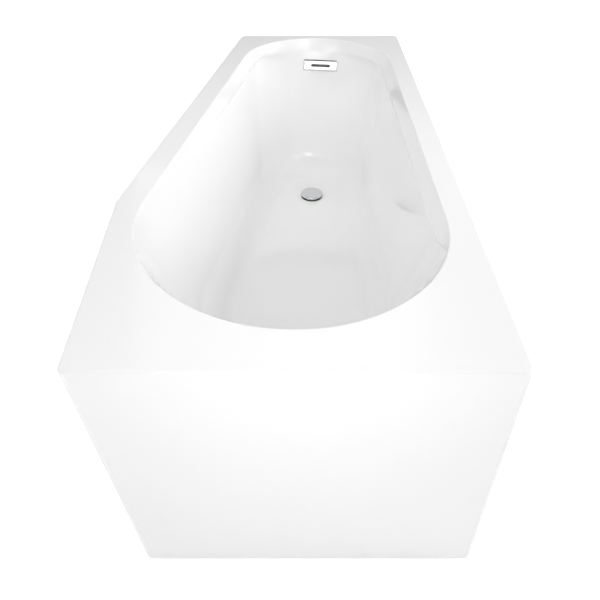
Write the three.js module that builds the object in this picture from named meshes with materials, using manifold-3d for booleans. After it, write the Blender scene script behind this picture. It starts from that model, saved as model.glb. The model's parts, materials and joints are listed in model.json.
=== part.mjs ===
// A freestanding space-saving bathtub: an egg-shaped basin in a five-sided body.
// Millimetres, +Z up. The origin is on the ground, at the middle of the bounding box.
// +Y runs from the wide end to the narrow end, and +X points to the straight side.
import * as THREE from "three";
import { mergeVertices } from "three/addons/utils/BufferGeometryUtils.js";
import Module from "manifold-3d";

const wasm = await Module();
wasm.setup();

// Pieces that touch keep this much room.
const GAP = 0.3;

// Outer body
const LENGTH = 1500;
const WIDTH = 750;
const HEIGHT = 580;
const NARROW_END_WIDTH = 524;
const KINK_FROM_WIDE_END = 483;
const LEFT_WALL_LEAN = 73; // how far the left walls have come in at ground level
const SKIRT_TO_GROUND = 1.5;
const SKIRT_WALL = 4.5;
const SKIRT_TOP_FLANGE = 20;
const SKIRT_BOTTOM_LIP = 25;
const RIM_THICKNESS = 8;
const RIM_EDGE_RADIUS = 4;
const RIM_CORNERS = [
  new THREE.Vector2(-WIDTH / 2, -LENGTH / 2),
  new THREE.Vector2(WIDTH / 2, -LENGTH / 2),
  new THREE.Vector2(WIDTH / 2, LENGTH / 2),
  new THREE.Vector2(WIDTH / 2 - NARROW_END_WIDTH, LENGTH / 2),
  new THREE.Vector2(-WIDTH / 2, KINK_FROM_WIDE_END - LENGTH / 2),
];
const CORNER_RADII = [12, 12, 16, 20, 24];
const LEAST_CORNER_RADIUS = 3;
const CORNER_STEPS = 4;

// Basin: its own axis runs from the wide tip to the narrow tip, through the drain's end wall
const DRAIN_X = 87.5;
const DRAIN_Y = 435;
const BASIN_TURN = THREE.MathUtils.degToRad(6.27);
const AXIS_OFFSET = -3.5; // the basin's axis passes this far left of the drain
const BASIN_FLOOR = 140;
const BASIN_WALL = 6;
const SIDE_REACH = 236; // from the drain to a side line, measured square to the line
const WIDE_TIP = 1093.6;
const NARROW_TIP = 285;
const END_ARC_RADIUS = 245;
const END_FLATTENING = 25; // growth of the end arc's radius for each millimetre in from the crease
const END_FLATTENED_BY = 12; // millimetres in from the crease where that growth ends
// The narrow end's corners, as pairs of the side's inset and the corner's radius
const CORNER_ARCS = [
  [0, 160],
  [17, 95],
  [40, 130],
  [70, 130],
  [136, 90],
];
const WIDE_ARC_STEPS = 9;
const CORNER_ARC_STEPS = 5;
const END_ARC_STEPS = 4;

// Basin walls: a band below the rim, a crease, a sloped wall and a fillet to the floor
const BAND_INSET = 17;
const BAND_DEPTH = 40;
const CREASE_STEP = 1.5;
const SIDE_RUN = 65;
const SIDE_FILLET = 80;
const WIDE_RUN = 285;
const WIDE_FILLET = 150;
const NARROW_RUN = 125;
const NARROW_FILLET = 110;
const WALL_HEIGHTS = [0, 1.5, 6, 13, 24, 40, 62, 95, 356]; // rings above the floor

// Drain, with heights measured from the basin's floor
const ROUND_STEPS = 32; // facets of the drain's large round pieces
const RECESS_RADIUS = 37.5;
const RECESS_DEPTH = 4;
const DRAIN_HOLE_RADIUS = 26;
const BOSS_RADIUS = 46;
const BOSS_BOTTOM = -11;
const FLANGE_RADIUS = 36.5;
const SHANK_RADIUS = 24;
const SHANK_BORE = 21;
const SHANK_BOTTOM = -24;
const SPIDER_TOP = -19;
const SPIDER_ARM = 1.5; // half of an arm's width
const SPIDER_HUB_RADIUS = 10;
const CARTRIDGE_RADIUS = 7;
const CAP_RADIUS = 36.5;
const CAP_UNDERSIDE = 6.5;
const STEM_RADIUS = 4.4;
const STEM_BOTTOM = -38;
const CARTRIDGE_BOTTOM = -62;
const CARTRIDGE_FLOOR = 3;
const PIPE_RADIUS = 20;
const PIPE_BORE = 17;
const SPIGOT_BOTTOM = -80;
const HOSE_RADIUS = 12.5;
const HOSE_BORE = 9.5;
const SPRING_RADIUS = 3.7;
const SPRING_WIRE = 0.5;
const SPRING_TURNS = 6;
const INLET_HEIGHT = -43;
const INLET_RADIUS = 14;
const INLET_BORE = 10.5;
const INLET_END = 62;

// Trap, with heights measured from the ground
const TRAP_RADIUS = 54;
const TRAP_BOTTOM = 6;
const TRAP_TOP = 52;
const TRAP_WALL = 3;
const TRAP_OUTLET_HEIGHT = 29;
const TRAP_OUTLET_REACH = 85;
const OUTLET_PIPE_LENGTH = 165;
const TRAP_DIP = 22; // lower end of the inlet pipe inside the trap
const TRAP_SEAL = 2;

// Overflow: y = 0 on the basin's wall and +y goes into the wall
const OVERFLOW_HEIGHT = 499;
const OVERFLOW_ACROSS = 1.5;
const PLATE_WIDTH = 116;
const PLATE_HEIGHT = 36;
const PLATE_DEPTH = 7;
const PLATE_SKIN = 2;
const SLOT_WIDTH = 64;
const SLOT_HEIGHT = 7;
const OVERFLOW_OPENING = [60, 18];
const OVERFLOW_BOX = [96, 36];
const OVERFLOW_BOX_DEPTH = 30;
const OVERFLOW_POCKET = [66, 24, 3];
const GASKET_THICKNESS = 2.5;
const RETAINER = [98, 28, 2];
const WALL_AT_OVERFLOW = 7.4; // the sloped wall, measured square to itself
const OVERFLOW_SCREW_X = 40;
const OVERFLOW_HOLE_RADIUS = 3;
const THROUGH = 20; // reach of a cut that passes through the wall and what is fixed to it
const OVERFLOW_SCREW = { headRadius: 3.6, headHeight: 1.6, shankRadius: 2, length: 18 };
const OVERFLOW_SPIGOT_END = -48;
const RETAINER_FRONT = -2.8;
const SPIGOT_BACK = 17;
const HOSE_NUT_RADIUS = 17;

// Frame and feet
const BOARD_THICKNESS = 18;
const TUBE_SIDE = 25;
const TUBE_WALL = 2;
const BOARD_TOP = BASIN_FLOOR - BASIN_WALL - GAP;
const RAIL_TOP = BOARD_TOP - BOARD_THICKNESS - GAP;
const BAR_TOP = RAIL_TOP - TUBE_SIDE - GAP;
const BAR_BOTTOM = BAR_TOP - TUBE_SIDE;
const RAIL_OFFSET = 80;
const RAIL_SCREWS = [-560, -140]; // along the basin, from the drain
const RAIL_START = -950;
const RAIL_END = 190;
const BOARD_INSET = { side: 128, wide: 318, narrow: 178 };
const SCREW_HOLE_RADIUS = 2.5;
const TOOL_HOLE_RADIUS = 6;
const SCREW_STEPS = 12; // facets of a screw's hole
const RAIL_SCREW = { headRadius: 4.5, headHeight: 2.5, shankRadius: 2.1, length: 15 };
const BRACKET_SCREW = { headRadius: 4.5, headHeight: 2.5, shankRadius: 2.1, length: 9 };
const BRACKET_PLATE = 2.5;
const BRACKET_HALF_WIDTH = 12;
const BRACKET_TAB = 14;
const BRACKET_SCREW_REACH = 9;
const FOOT_THREAD_RADIUS = 6;
const FOOT_PAD_RADIUS = 24;
const FOOT_SOCKET_RADIUS = 12;
const FOOT_SOCKET_FLOOR = 5;
const FOOT_SOCKET_TOP = 22;
const FOOT_STEM_TOP = 104;
const FOOT_NUT_FLATS = 19;
const FOOT_NUT_HEIGHT = 10;
const BARS = [
  { name: "wide_end", y: -470, from: -280, to: 350, feet: [-240, 310] },
  { name: "middle", y: -60, from: -70, to: 130, feet: [30] },
  { name: "narrow_end", y: 600, from: -82, to: 350, feet: [-45, 310] },
];

const ACRYLIC = { color: 0xf6f6f5, roughness: 0.1, metalness: 0 };
const CHROME = { color: 0xdcdfe2, roughness: 0.08, metalness: 1 };
const STEEL = { color: 0xa9adb0, roughness: 0.4, metalness: 0.9 };
const BRASS = { color: 0xb99b5a, roughness: 0.35, metalness: 0.9 };
const RUBBER = { color: 0x1d1d1e, roughness: 0.8, metalness: 0 };
const PIPE_PLASTIC = { color: 0xe4e4e2, roughness: 0.45, metalness: 0 };
const DARK_PLASTIC = { color: 0x2c2d2f, roughness: 0.6, metalness: 0 };
const BOARD = { color: 0xb8945f, roughness: 0.85, metalness: 0 };

const tub = new THREE.Group();
const basinFrame = new THREE.Group();
basinFrame.position.set(DRAIN_X, DRAIN_Y, 0);
basinFrame.rotation.z = -BASIN_TURN;
const drainFrame = new THREE.Group();
drainFrame.position.z = BASIN_FLOOR;
basinFrame.add(drainFrame);
tub.add(basinFrame);

// ---- Solids ----

// A closed three.js geometry as a solid that can be joined and cut.
function solid(geometry) {
  const plain = geometry.clone();
  plain.deleteAttribute("normal");
  plain.deleteAttribute("uv");
  const merged = mergeVertices(plain, 1e-3);
  return new wasm.Manifold(
    new wasm.Mesh({
      numProp: 3,
      vertProperties: merged.attributes.position.array,
      triVerts: new Uint32Array(merged.index.array),
    }),
  );
}

// A joined or cut solid as a three.js geometry.
function geometryOf(shape) {
  const mesh = shape.getMesh();
  const geometry = new THREE.BufferGeometry();
  geometry.setAttribute("position", new THREE.BufferAttribute(mesh.vertProperties, 3));
  geometry.setIndex(new THREE.BufferAttribute(mesh.triVerts, 1));
  geometry.computeVertexNormals();
  return geometry;
}

// Adds one named piece to the object.
function addPart(name, shape, look, parent = tub) {
  const geometry = shape.isBufferGeometry ? shape : geometryOf(shape);
  const mesh = new THREE.Mesh(geometry, new THREE.MeshStandardMaterial(look));
  mesh.name = name;
  parent.add(mesh);
  return mesh;
}

// The triangles that close a flat ring.
function capOf(ring) {
  const outline = ring.map((point) => new THREE.Vector2(point.x, point.y));
  return THREE.ShapeUtils.triangulateShape(outline, []);
}

// A closed skin over rings of points that run anticlockwise, lowest ring first.
function loft(rings) {
  const count = rings[0].length;
  const index = [];
  for (let low = 0; low < (rings.length - 1) * count; low += count) {
    const high = low + count;
    for (let i = 0; i < count; i++) {
      const next = (i + 1) % count;
      index.push(low + i, low + next, high + next);
      index.push(low + i, high + next, high + i);
    }
  }
  const top = (rings.length - 1) * count;
  capOf(rings[0]).forEach(([a, b, c]) => index.push(a, c, b));
  capOf(rings[rings.length - 1]).forEach(([a, b, c]) => index.push(top + a, top + b, top + c));
  return new THREE.BufferGeometry().setFromPoints(rings.flat()).setIndex(index);
}

// A box between two corners.
function box(low, high) {
  const size = high.map((value, i) => value - low[i]);
  const geometry = new THREE.BoxGeometry(...size);
  geometry.translate(...low.map((value, i) => value + size[i] / 2));
  return solid(geometry);
}

// An upright round bar.
function rod(radius, bottom, top, steps = 24) {
  const geometry = new THREE.CylinderGeometry(radius, radius, top - bottom, steps);
  geometry.rotateX(Math.PI / 2);
  geometry.translate(0, 0, (top + bottom) / 2);
  return solid(geometry);
}

// A turned piece about the Z axis, from an anticlockwise profile of [radius, height] points.
function turned(profile, steps = 24) {
  const points = profile.map(([radius, height]) => new THREE.Vector2(radius, height));
  if (profile[0][0] > 0) points.push(points[0].clone());
  const geometry = new THREE.LatheGeometry(points, steps);
  geometry.rotateX(Math.PI / 2);
  return solid(geometry);
}

// A flat ring with square edges.
function ring(inner, outer, bottom, top, steps = 24) {
  return turned([[inner, bottom], [outer, bottom], [outer, top], [inner, top]], steps);
}

// A hexagonal nut with a plain hole.
function hexNut(acrossFlats, hole, bottom, top) {
  const corner = acrossFlats / Math.sqrt(3);
  return rod(corner, bottom, top, 6).subtract(rod(hole, bottom - 1, top + 1, 18));
}

// A rectangle with round corners, centred, standing in the XZ plane from y = near to y = far.
function slab(width, height, radius, near, far) {
  const shape = new THREE.Shape();
  const x = width / 2 - radius;
  const z = height / 2 - radius;
  shape.absarc(x, z, radius, 0, Math.PI / 2);
  shape.absarc(-x, z, radius, Math.PI / 2, Math.PI);
  shape.absarc(-x, -z, radius, Math.PI, 1.5 * Math.PI);
  shape.absarc(x, -z, radius, 1.5 * Math.PI, 2 * Math.PI);
  const geometry = new THREE.ExtrudeGeometry(shape, {
    depth: far - near,
    bevelEnabled: false,
    curveSegments: 4,
  });
  geometry.rotateX(Math.PI / 2);
  geometry.translate(0, far, 0);
  return solid(geometry);
}

// Turns an upright solid so that its +Z points along +Y.
function laidAlongY(shape) {
  return shape.rotate([-90, 0, 0]);
}

// ---- Outlines ----

// Polygon corners after each edge has moved inwards by its own inset.
function insetCorners(corners, insets) {
  const edges = corners.map((from, i) => {
    const to = corners[(i + 1) % corners.length];
    const along = to.clone().sub(from).normalize();
    const inward = new THREE.Vector2(-along.y, along.x);
    return { point: from.clone().addScaledVector(inward, insets[i]), along };
  });
  return edges.map((edge, i) => {
    const before = edges[(i + edges.length - 1) % edges.length];
    const apart = edge.point.clone().sub(before.point);
    const reach = apart.cross(edge.along) / before.along.cross(edge.along);
    return before.point.clone().addScaledVector(before.along, reach);
  });
}

// The arc that rounds one corner of an anticlockwise polygon.
function roundedCorner(before, corner, after, radius) {
  const arriving = corner.clone().sub(before).normalize();
  const leaving = after.clone().sub(corner).normalize();
  const turn = Math.asin(arriving.cross(leaving));
  const start = corner.clone().addScaledVector(arriving, -radius * Math.tan(turn / 2));
  const centre = start.clone().add(new THREE.Vector2(-arriving.y, arriving.x).multiplyScalar(radius));
  const points = [];
  for (let step = 0; step <= CORNER_STEPS; step++) {
    points.push(start.clone().rotateAround(centre, (turn * step) / CORNER_STEPS));
  }
  return points;
}

// The body's outline at one height, moved inwards by inset. The left walls lean in as they go down.
function bodyRing(height, inset) {
  const edgeBottom = HEIGHT - RIM_EDGE_RADIUS;
  const lean = (LEFT_WALL_LEAN * Math.max(edgeBottom - height, 0)) / edgeBottom;
  const insets = [inset, inset, inset, inset + lean, inset + lean];
  const corners = insetCorners(RIM_CORNERS, insets);
  const last = corners.length - 1;
  return corners.flatMap((corner, i) => {
    const before = corners[i === 0 ? last : i - 1];
    const after = corners[i === last ? 0 : i + 1];
    const radius = Math.max(CORNER_RADII[i] - inset, LEAST_CORNER_RADIUS);
    return roundedCorner(before, corner, after, radius).map((p) => new THREE.Vector3(p.x, p.y, height));
  });
}

// Points on an arc about (across, along), in the basin's own axes.
function arc(across, along, radius, from, to, steps) {
  const points = [];
  for (let step = 0; step <= steps; step++) {
    const angle = from + ((to - from) * step) / steps;
    points.push([across + radius * Math.cos(angle), along + radius * Math.sin(angle)]);
  }
  return points;
}

// The radius of the narrow end's corners, which is tightest at the crease and the floor.
function cornerArcRadius(inset) {
  const last = CORNER_ARCS.length - 1;
  const next = CORNER_ARCS.findIndex(([reached]) => reached > inset);
  if (next === 0) return CORNER_ARCS[0][1];
  if (next < 0) return CORNER_ARCS[last][1];
  const [before, radius] = CORNER_ARCS[next - 1];
  const [after, nextRadius] = CORNER_ARCS[next];
  return THREE.MathUtils.mapLinear(inset, before, after, radius, nextRadius);
}

// The egg-shaped outline at one height, after its sides and ends have moved inwards.
// grow then widens the finished outline evenly, for the outside of the basin's wall.
function basinRing(height, inset, grow = 0) {
  const lean = Math.sin(BASIN_TURN);
  const reach = SIDE_REACH - inset.side;
  const wideCentre = (inset.wide + reach - WIDE_TIP) / (1 + lean);
  const wideRadius = reach - lean * wideCentre;
  const flattening = Math.min(Math.max(inset.narrow - BAND_INSET, 0), END_FLATTENED_BY);
  const endRadius = END_ARC_RADIUS + END_FLATTENING * flattening;
  const cornerRadius = cornerArcRadius(inset.side);
  const endCentre = NARROW_TIP - inset.narrow - endRadius;
  const slope = Math.tan(BASIN_TURN);
  const base = (reach - cornerRadius - lean * endCentre) / Math.cos(BASIN_TURN);
  const between = endRadius - cornerRadius;
  const root = Math.sqrt((base * slope) ** 2 - (1 + slope ** 2) * (base ** 2 - between ** 2));
  const ahead = (base * slope + root) / (1 + slope ** 2);
  const cornerAcross = base - slope * ahead;
  const join = Math.PI / 2 - Math.atan2(cornerAcross, ahead);
  const right = [
    ...arc(0, wideCentre, wideRadius + grow, -Math.PI / 2, BASIN_TURN, WIDE_ARC_STEPS),
    ...arc(cornerAcross, endCentre + ahead, cornerRadius + grow, BASIN_TURN, join, CORNER_ARC_STEPS),
    ...arc(0, endCentre, endRadius + grow, join, Math.PI / 2, END_ARC_STEPS).slice(1),
  ];
  const left = right
    .slice(1, -1)
    .reverse()
    .map(([across, along]) => [-across, along]);
  return [...right, ...left].map(([across, along]) => basinPoint(across + AXIS_OFFSET, along, height));
}

// A point given across and along the basin, in the object's axes.
function basinPoint(across, along, height) {
  const cos = Math.cos(BASIN_TURN);
  const sin = Math.sin(BASIN_TURN);
  const x = DRAIN_X + across * cos + along * sin;
  const y = DRAIN_Y - across * sin + along * cos;
  return new THREE.Vector3(x, y, height);
}

// How far a wall has come in at a height above the floor: a slope, then a fillet to the floor.
function wallInset(run, fillet, above) {
  const wallHeight = HEIGHT - BAND_DEPTH - BASIN_FLOOR;
  const start = BAND_INSET + CREASE_STEP;
  const lean = Math.atan((run - start) / wallHeight);
  const tangent = fillet * Math.tan((Math.PI / 2 - lean) / 2);
  if (above < tangent * Math.cos(lean)) {
    return run + tangent - Math.sqrt(fillet ** 2 - (fillet - above) ** 2);
  }
  return start + (run - start) * (1 - above / wallHeight);
}

// The three insets of the basin's wall at a height above the floor.
function wallInsets(above) {
  return {
    side: wallInset(SIDE_RUN, SIDE_FILLET, above),
    wide: wallInset(WIDE_RUN, WIDE_FILLET, above),
    narrow: wallInset(NARROW_RUN, NARROW_FILLET, above),
  };
}

// The same inset all round.
function evenInset(value) {
  return { side: value, wide: value, narrow: value };
}

// The basin's hollow, grown by thickness for the outside of its wall, or shrunk where it is negative.
function basinVolume(thickness) {
  const creaseHeight = HEIGHT - BAND_DEPTH;
  const rings = WALL_HEIGHTS.map((above) => {
    return basinRing(BASIN_FLOOR - thickness + above, wallInsets(above), thickness);
  });
  rings.push(basinRing(creaseHeight - CREASE_STEP, evenInset(BAND_INSET + CREASE_STEP), thickness));
  rings.push(basinRing(creaseHeight, evenInset(BAND_INSET), thickness));
  if (thickness !== 0) {
    rings.push(basinRing(HEIGHT - 1, evenInset(1), thickness));
    return solid(loft(rings));
  }
  rings.push(basinRing(HEIGHT - RIM_EDGE_RADIUS, evenInset(0.5)));
  rings.push(basinRing(HEIGHT - RIM_EDGE_RADIUS / 3, evenInset(-1.2)));
  rings.push(basinRing(HEIGHT, evenInset(-RIM_EDGE_RADIUS)));
  rings.push(basinRing(HEIGHT + 1, evenInset(-RIM_EDGE_RADIUS)));
  return solid(loft(rings));
}

// ---- Shell ----

function makeRimPlate() {
  const edge = RIM_EDGE_RADIUS;
  return solid(
    loft([
      bodyRing(HEIGHT - RIM_THICKNESS, 0),
      bodyRing(HEIGHT - edge, 0),
      bodyRing(HEIGHT - edge / 3, edge / 4),
      bodyRing(HEIGHT, edge),
    ]),
  );
}

// The basin, with its rim, the drain's boss and recess, and the overflow's openings.
function makeInnerBasin() {
  const drainAt = [DRAIN_X, DRAIN_Y, BASIN_FLOOR];
  const boss = rod(BOSS_RADIUS, BOSS_BOTTOM, -1).translate(drainAt);
  const recess = rod(RECESS_RADIUS, -RECESS_DEPTH, 1, ROUND_STEPS).translate(drainAt);
  const hole = rod(DRAIN_HOLE_RADIUS, BOSS_BOTTOM - 1, 0, ROUND_STEPS).translate(drainAt);
  const opening = slab(...OVERFLOW_OPENING, OVERFLOW_OPENING[1] / 2.1, -THROUGH, THROUGH);
  const cuts = opening.add(overflowScrewHoles(OVERFLOW_HOLE_RADIUS));
  return makeRimPlate()
    .add(basinVolume(BASIN_WALL))
    .add(boss)
    .subtract(basinVolume(0))
    .subtract(recess)
    .subtract(hole)
    .subtract(overflowPlaced(cuts));
}

// The outer shell: walls, a flange that is bonded under the rim, and a lip round the bottom.
function makeOuterSkirt() {
  const top = HEIGHT - RIM_THICKNESS - GAP;
  const underFlange = top - SKIRT_WALL;
  const overLip = SKIRT_TO_GROUND + SKIRT_WALL;
  const outside = solid(loft([bodyRing(SKIRT_TO_GROUND, 0), bodyRing(top, 0)]));
  const inside = solid(loft([bodyRing(overLip, SKIRT_WALL), bodyRing(underFlange, SKIRT_WALL)]));
  const topHole = loft([bodyRing(underFlange - 1, SKIRT_TOP_FLANGE), bodyRing(top + 1, SKIRT_TOP_FLANGE)]);
  const bottomInset = SKIRT_WALL + SKIRT_BOTTOM_LIP;
  const bottomHole = loft([bodyRing(0, bottomInset), bodyRing(overLip + 1, bottomInset)]);
  const openings = solid(topHole).add(solid(bottomHole));
  let skirt = outside.subtract(inside).subtract(openings);
  for (const place of bracketPlaces()) {
    const hole = rod(SCREW_HOLE_RADIUS, 0, overLip + 1, SCREW_STEPS);
    skirt = skirt.subtract(hole.translate([place.screwX, place.y, 0]));
  }
  return skirt;
}

// ---- Frame and feet ----

// A square steel tube along X, open at both ends, with holes for the feet.
function makeCrossbar(bar) {
  const half = TUBE_SIDE / 2;
  const inner = half - TUBE_WALL;
  const middle = BAR_TOP - half;
  const outside = box([bar.from, bar.y - half, BAR_BOTTOM], [bar.to, bar.y + half, BAR_TOP]);
  const bore = box(
    [bar.from - 1, bar.y - inner, middle - inner],
    [bar.to + 1, bar.y + inner, middle + inner],
  );
  let tube = outside.subtract(bore);
  for (const x of bar.feet) {
    const hole = rod(FOOT_THREAD_RADIUS + GAP, BAR_BOTTOM - 1, BAR_TOP + 1);
    tube = tube.subtract(hole.translate([x, bar.y, 0]));
  }
  return tube;
}

// A steel rail along the basin, screwed up into the board.
function makeRail(side) {
  const half = TUBE_SIDE / 2;
  const inner = half - TUBE_WALL;
  const across = AXIS_OFFSET + side * RAIL_OFFSET;
  const middle = RAIL_TOP - half;
  const bottom = RAIL_TOP - TUBE_SIDE;
  const outside = box([across - half, RAIL_START, bottom], [across + half, RAIL_END, RAIL_TOP]);
  const bore = box(
    [across - inner, RAIL_START - 1, middle - inner],
    [across + inner, RAIL_END + 1, middle + inner],
  );
  const screwHole = rod(SCREW_HOLE_RADIUS, RAIL_TOP - TUBE_WALL - 1, RAIL_TOP + 1, SCREW_STEPS);
  const toolHole = rod(TOOL_HOLE_RADIUS, bottom - 1, middle, SCREW_STEPS);
  const holes = screwHole.add(toolHole);
  let rail = outside.subtract(bore);
  for (const along of RAIL_SCREWS) rail = rail.subtract(holes.translate([across, along, 0]));
  return rail;
}

// The board under the basin's floor, with the drain's hole and the rail screws' holes.
function makeBaseBoard() {
  const bottom = BOARD_TOP - BOARD_THICKNESS;
  const drainHole = rod(BOSS_RADIUS + 5, bottom - 1, BOARD_TOP + 1);
  let board = solid(loft([basinRing(bottom, BOARD_INSET), basinRing(BOARD_TOP, BOARD_INSET)]));
  board = board.subtract(drainHole.translate([DRAIN_X, DRAIN_Y, 0]));
  const screwHole = rod(SCREW_HOLE_RADIUS, bottom - 1, bottom + RAIL_SCREW.length - 1, SCREW_STEPS);
  for (const { side, along } of railScrewPlaces()) {
    const at = basinPoint(AXIS_OFFSET + side * RAIL_OFFSET, along, 0);
    board = board.subtract(screwHole.translate([at.x, at.y, 0]));
  }
  return board;
}

function railScrewPlaces() {
  return [-1, 1].flatMap((side) => RAIL_SCREWS.map((along) => ({ side, along })));
}

// A flat-headed screw that points up, with its head below z = 0.
function makeScrew({ headRadius, headHeight, shankRadius, length }) {
  const profile = [
    [0, -headHeight],
    [headRadius, -headHeight],
    [headRadius, 0],
    [shankRadius, 0],
    [shankRadius, length],
    [0, length],
  ];
  return turned(profile, 16);
}

function addFrame() {
  addPart("base_board", makeBaseBoard(), BOARD);
  addPart("frame_rail_left", makeRail(-1), STEEL, basinFrame);
  addPart("frame_rail_right", makeRail(1), STEEL, basinFrame);
  for (const bar of BARS) addPart("crossbar_" + bar.name, makeCrossbar(bar), STEEL);
  railScrewPlaces().forEach(({ side, along }, i) => {
    const screw = addPart("rail_screw_" + (i + 1), makeScrew(RAIL_SCREW), STEEL, basinFrame);
    screw.position.set(AXIS_OFFSET + side * RAIL_OFFSET, along, RAIL_TOP - TUBE_WALL - GAP);
  });
}

// A levelling foot: a threaded stem in a round pad, held by a lock nut under its bar.
function addFeet() {
  const holeRadius = FOOT_THREAD_RADIUS + GAP;
  const padProfile = [
    [0, 0],
    [FOOT_PAD_RADIUS - 2, 0],
    [FOOT_PAD_RADIUS, 3],
    [FOOT_PAD_RADIUS, 7],
    [FOOT_SOCKET_RADIUS, 14],
    [FOOT_SOCKET_RADIUS, FOOT_SOCKET_TOP],
    [holeRadius, FOOT_SOCKET_TOP],
    [holeRadius, FOOT_SOCKET_FLOOR],
    [0, FOOT_SOCKET_FLOOR],
  ];
  const pad = turned(padProfile, 16);
  const stem = rod(FOOT_THREAD_RADIUS, FOOT_SOCKET_FLOOR + GAP, FOOT_STEM_TOP, 16);
  const nut = hexNut(FOOT_NUT_FLATS, holeRadius, BAR_BOTTOM - FOOT_NUT_HEIGHT, BAR_BOTTOM - GAP);
  const places = BARS.flatMap((bar) => bar.feet.map((x) => [x, bar.y, 0]));
  places.forEach((place, i) => {
    addPart("foot_pad_" + (i + 1), pad, DARK_PLASTIC).position.set(...place);
    addPart("foot_stem_" + (i + 1), stem, STEEL).position.set(...place);
    addPart("foot_lock_nut_" + (i + 1), nut, STEEL).position.set(...place);
  });
}

// Where the skirt's brackets stand: at the ends of the two long bars.
function bracketPlaces() {
  const reach = GAP + BRACKET_SCREW_REACH;
  return BARS.filter((bar) => bar.feet.length > 1).flatMap((bar) => [
    { y: bar.y, x: bar.from - GAP, side: -1, screwX: bar.from - reach },
    { y: bar.y, x: bar.to + GAP, side: 1, screwX: bar.to + reach },
  ]);
}

// L-shaped brackets from the bars' ends down to the skirt's lip, each with one screw.
function addSkirtBrackets() {
  const half = BRACKET_HALF_WIDTH;
  const bottom = SKIRT_TO_GROUND + SKIRT_WALL + GAP;
  const tabTop = bottom + BRACKET_PLATE;
  const leg = box([0, -half, bottom], [BRACKET_PLATE, half, BAR_TOP - 3]);
  const tab = box([0, -half, bottom], [BRACKET_TAB, half, tabTop]);
  const hole = rod(SCREW_HOLE_RADIUS, 0, tabTop + 1, SCREW_STEPS);
  const right = leg.add(tab).subtract(hole.translate([BRACKET_SCREW_REACH, 0, 0]));
  const left = right.rotate([0, 0, 180]);
  const screw = makeScrew(BRACKET_SCREW).rotate([180, 0, 0]);
  bracketPlaces().forEach((place, i) => {
    const bracket = addPart("skirt_bracket_" + (i + 1), place.side < 0 ? left : right, STEEL);
    bracket.position.set(place.x, place.y, 0);
    const screwPart = addPart("bracket_screw_" + (i + 1), screw, STEEL);
    screwPart.position.set(place.screwX, place.y, tabTop + GAP);
  });
}

// ---- Drain and plug ----

// The flange in the basin's floor, with a threaded shank and a spider that carries the cartridge.
function makeDrainFlange() {
  const profile = [
    [SHANK_BORE, SHANK_BOTTOM],
    [SHANK_RADIUS, SHANK_BOTTOM],
    [SHANK_RADIUS, -2.4],
    [FLANGE_RADIUS, -2.4],
    [FLANGE_RADIUS, -GAP],
    [28, -GAP],
    [SHANK_BORE, -5],
  ];
  const reach = SHANK_BORE + 1;
  const hub = rod(SPIDER_HUB_RADIUS, SHANK_BOTTOM, SPIDER_TOP, 20);
  const arms = box([-reach, -SPIDER_ARM, SHANK_BOTTOM], [reach, SPIDER_ARM, SPIDER_TOP])
    .add(box([-SPIDER_ARM, -reach, SHANK_BOTTOM], [SPIDER_ARM, reach, SPIDER_TOP]))
    .add(hub);
  const hubHole = rod(CARTRIDGE_RADIUS + GAP, SHANK_BOTTOM - 1, SPIDER_TOP + 1, 20);
  return turned(profile, ROUND_STEPS).add(arms).subtract(hubHole);
}

// The waste body: a cup under the basin with the overflow's inlet and the trap's spigot.
function makeDrainBody() {
  const cup = turned([
    [SHANK_RADIUS + GAP, -26],
    [27, -26],
    [27, -56],
    [PIPE_BORE, -56],
    [PIPE_BORE, SPIGOT_BOTTOM],
    [PIPE_RADIUS, SPIGOT_BOTTOM],
    [PIPE_RADIUS, -60],
    [31, -60],
    [31, -17.5],
    [42, -17.5],
    [42, -14.5],
    [SHANK_RADIUS + GAP, -14.5],
  ]);
  const inlet = laidAlongY(rod(INLET_RADIUS, 29, INLET_END, 20)).translate([0, 0, INLET_HEIGHT]);
  const bore = laidAlongY(rod(INLET_BORE, 20, INLET_END + 1, 20)).translate([0, 0, INLET_HEIGHT]);
  return cup.add(inlet).subtract(bore);
}

// The push mechanism's housing, closed at the bottom.
function makeCartridge() {
  const shoulder = SPIDER_TOP + GAP;
  const top = shoulder + 3.7;
  const bore = STEM_RADIUS + 0.4;
  return turned([
    [0, CARTRIDGE_BOTTOM],
    [CARTRIDGE_RADIUS, CARTRIDGE_BOTTOM],
    [CARTRIDGE_RADIUS, shoulder],
    [CARTRIDGE_RADIUS + 2, shoulder],
    [CARTRIDGE_RADIUS + 2, top],
    [bore, top],
    [bore, CARTRIDGE_BOTTOM + CARTRIDGE_FLOOR],
    [0, CARTRIDGE_BOTTOM + CARTRIDGE_FLOOR],
  ]);
}

// A low dome, hollow below, with a socket for the stem.
function makePlugCap() {
  const profile = [
    [0, 8.2],
    [STEM_RADIUS + 0.3, 8.2],
    [STEM_RADIUS + 0.3, 4.5],
    [7, 4.5],
    [7, 7.9],
    [CAP_RADIUS - 2.5, 7.9],
    [CAP_RADIUS - 2, CAP_UNDERSIDE],
    [CAP_RADIUS - 0.6, CAP_UNDERSIDE],
    [CAP_RADIUS, 7.4],
    [CAP_RADIUS - 0.8, 9],
    [CAP_RADIUS - 5, 10.4],
    [CAP_RADIUS / 2, 11.6],
    [0, 12.2],
  ];
  return turned(profile, 36);
}

// The line of a compression spring's wire.
class Helix extends THREE.Curve {
  constructor(radius, bottom, top, turns) {
    super();
    Object.assign(this, { radius, bottom, top, turns });
  }
  getPoint(t, target = new THREE.Vector3()) {
    const angle = 2 * Math.PI * this.turns * t;
    const height = this.bottom + (this.top - this.bottom) * t;
    return target.set(this.radius * Math.cos(angle), this.radius * Math.sin(angle), height);
  }
}

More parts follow.
